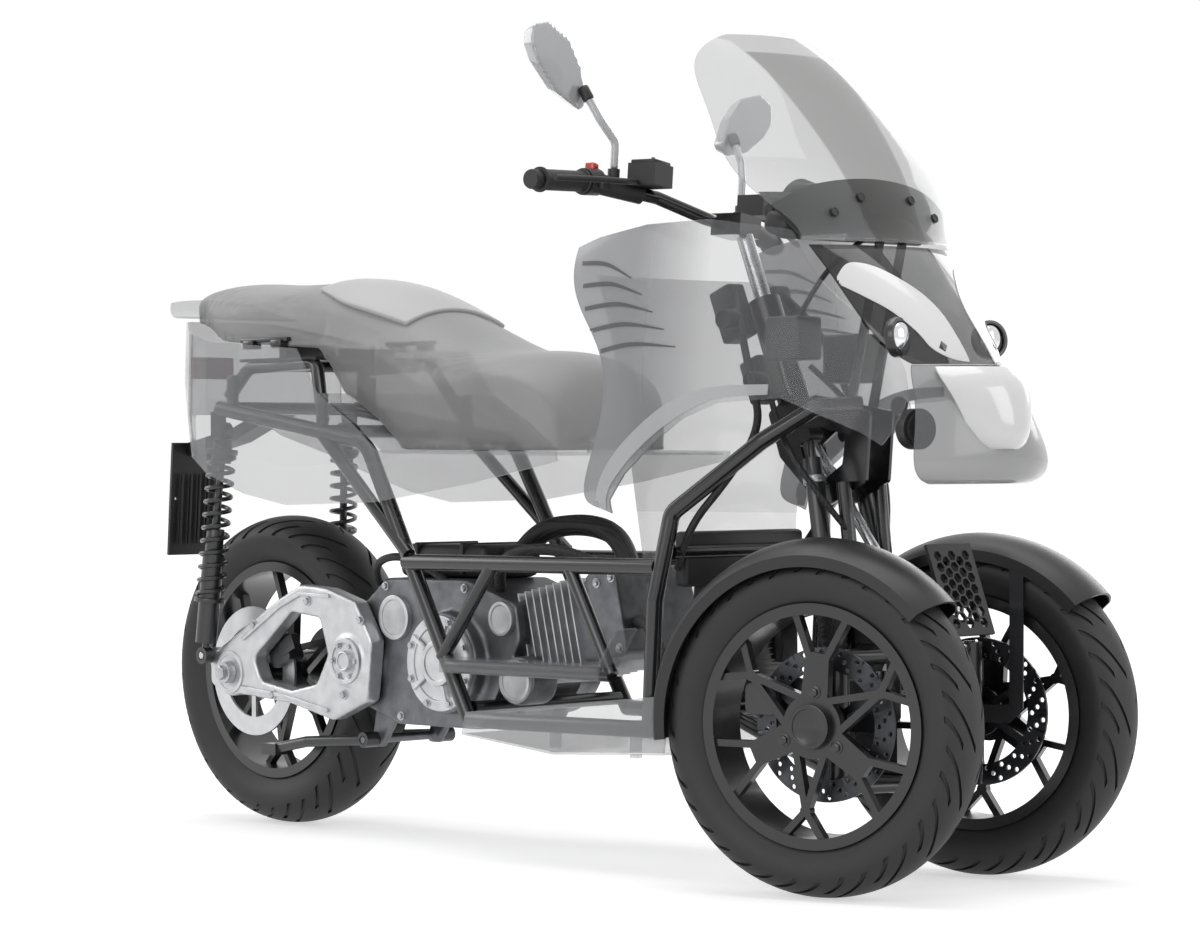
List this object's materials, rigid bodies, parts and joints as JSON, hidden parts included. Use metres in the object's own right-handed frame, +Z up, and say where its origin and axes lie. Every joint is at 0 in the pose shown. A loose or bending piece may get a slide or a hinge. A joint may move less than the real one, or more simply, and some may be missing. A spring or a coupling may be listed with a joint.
{
  "type": "reverse trike",
  "caption": "Leaning three-wheeled scooter with two steered front wheels, see-through body panels over a tube frame, tall windscreen, dual seat and single driven rear wheel.",
  "frame": {"origin": "on the floor, under the middle of the overall box", "axes": "+X forward, +Y to the rider's left, +Z up"},
  "size_m": [2.1018, 0.7748, 1.3844],
  "materials": {
    "tyre": "moulded rubber",
    "black_alloy": "satin black paint",
    "steel": "ground",
    "dark_metal": "satin black",
    "dark_plastic": "fine grained",
    "cast_aluminium": "cast, bright",
    "engine_alloy": "cast, dull",
    "frame_paint": "gloss black",
    "rubber": "ribbed",
    "grey_plastic": "smooth",
    "screen": "clear, tinted band",
    "lens": "clear",
    "panel": "see-through grey shell",
    "white_panel": "gloss",
    "red_lens": "gloss",
    "seat_cover": "see-through grey"
  },
  "bodies": {
    "chassis": {"beak": "panel", "belly": "panel", "dash_band": "dark_plastic", "engine_block": "engine_alloy", "flank_left": "panel", "flank_right": "panel", "footboards": "dark_plastic", "frame_cross": "frame_paint", "frame_side_left": "frame_paint", "frame_side_right": "frame_paint", "honeycomb": "dark_plastic", "horn": "dark_plastic", "lamp_left": "lens", "lamp_right": "lens", "lamp_window": "lens", "leg_shield": "panel", "nose": "white_panel", "plate_holder": "dark_plastic", "rear_caliper": "dark_metal", "rear_shocks": "dark_metal", "seat_base": "panel", "seat_hoop": "frame_paint", "side_panel_left": "panel", "side_panel_right": "panel", "steering_head": "frame_paint", "suspension_arms": "dark_metal", "swing_arm": "cast_aluminium", "tail_lamp": "red_lens", "tail_panel": "panel", "tilt_cylinders": "dark_metal", "tilt_frame": "frame_paint", "transmission_case": "engine_alloy", "windscreen": "screen"},
    "steering": {"handlebar": "frame_paint", "steering_column": "frame_paint", "grips": "rubber", "controls": "dark_plastic", "mirrors": "grey_plastic"},
    "knuckle_right": {"knuckle_right": "dark_metal", "front_caliper_right": "dark_metal", "fender_right": "dark_plastic"},
    "knuckle_left": {"knuckle_left": "dark_metal", "front_caliper_left": "dark_metal", "fender_left": "dark_plastic"},
    "wheel_front_right": {"front_tyre_right": "tyre", "front_rim_right": "black_alloy", "front_disc_right": "steel"},
    "wheel_front_left": {"front_tyre_left": "tyre", "front_rim_left": "black_alloy", "front_disc_left": "steel"},
    "wheel_rear": {"rear_tyre": "tyre", "rear_rim": "black_alloy", "rear_disc": "steel", "rear_axle": "steel"},
    "crank": {"bell_crank": "steel"},
    "tie_rod_right": {"tie_rod_right": "dark_metal"},
    "tie_rod_left": {"tie_rod_left": "dark_metal"},
    "steering_shaft": {"steering_shaft": "dark_metal"},
    "seat": {"seat": "seat_cover"},
    "stand": {"centre_stand": "dark_metal"}
  },
  "joints": [
    {"name": "handlebar_steer", "type": "hinge", "parent": "chassis", "child": "steering", "pos_m": [0.43, 0.031, 1.059], "axis": [-0.3699, 0, 0.9291], "range_deg": [-37.3, 8.7]},
    {"name": "knuckle_right_steer", "type": "hinge", "parent": "chassis", "child": "knuckle_right", "pos_m": [0.779, -0.129, 0.266], "axis": [0, 0, 1], "range_deg": [-37.3, 8.7]},
    {"name": "knuckle_left_steer", "type": "hinge", "parent": "chassis", "child": "knuckle_left", "pos_m": [0.779, 0.191, 0.266], "axis": [0, 0, 1], "range_deg": [-37.3, 8.7]},
    {"name": "bell_crank_turn", "type": "hinge", "parent": "chassis", "child": "crank", "pos_m": [0.779, 0.031, 0.38], "axis": [0, 0, 1], "range_deg": [-37.3, 8.7]},
    {"name": "tie_rod_right_turn", "type": "hinge", "parent": "crank", "child": "tie_rod_right", "pos_m": [0.73636, 0.02013, 0.332], "axis": [0, 0, 1], "range_deg": [-8.7, 37.3]},
    {"name": "tie_rod_left_turn", "type": "hinge", "parent": "crank", "child": "tie_rod_left", "pos_m": [0.73636, 0.02013, 0.304], "axis": [0, 0, 1], "range_deg": [-8.7, 37.3]},
    {"name": "steering_shaft_turn", "type": "hinge", "parent": "chassis", "child": "steering_shaft", "pos_m": [0.557, 0.031, 0.74], "axis": [-0.6109, 0, 0.7917], "range_deg": [-37.3, 8.7]},
    {"name": "wheel_front_right_spin", "type": "hinge", "parent": "knuckle_right", "child": "wheel_front_right", "pos_m": [0.79011, -0.17261, 0.266], "axis": [-0.247, 0.969, 0], "continuous": true},
    {"name": "wheel_front_left_spin", "type": "hinge", "parent": "knuckle_left", "child": "wheel_front_left", "pos_m": [0.76789, 0.23461, 0.266], "axis": [-0.247, 0.969, 0], "continuous": true},
    {"name": "wheel_rear_spin", "type": "hinge", "parent": "chassis", "child": "wheel_rear", "pos_m": [-0.741, 0.031, 0.2885], "axis": [0, 1, 0], "continuous": true},
    {"name": "seat_lid", "type": "hinge", "parent": "chassis", "child": "seat", "pos_m": [0.14, 0.031, 0.702], "axis": [0, 1, 0], "range_deg": [0, 65]},
    {"name": "centre_stand_fold", "type": "hinge", "parent": "chassis", "child": "stand", "pos_m": [-0.42, 0.031, 0.176], "axis": [0, -1, 0], "range_deg": [0, 100]}
  ],
  "couplings": [
    {"joint": "knuckle_right_steer", "follows": "handlebar_steer", "ratio": 1},
    {"joint": "knuckle_left_steer", "follows": "handlebar_steer", "ratio": 1},
    {"joint": "bell_crank_turn", "follows": "handlebar_steer", "ratio": 1},
    {"joint": "steering_shaft_turn", "follows": "handlebar_steer", "ratio": 1},
    {"joint": "tie_rod_right_turn", "follows": "handlebar_steer", "ratio": -1},
    {"joint": "tie_rod_left_turn", "follows": "handlebar_steer", "ratio": -1}
  ]
}
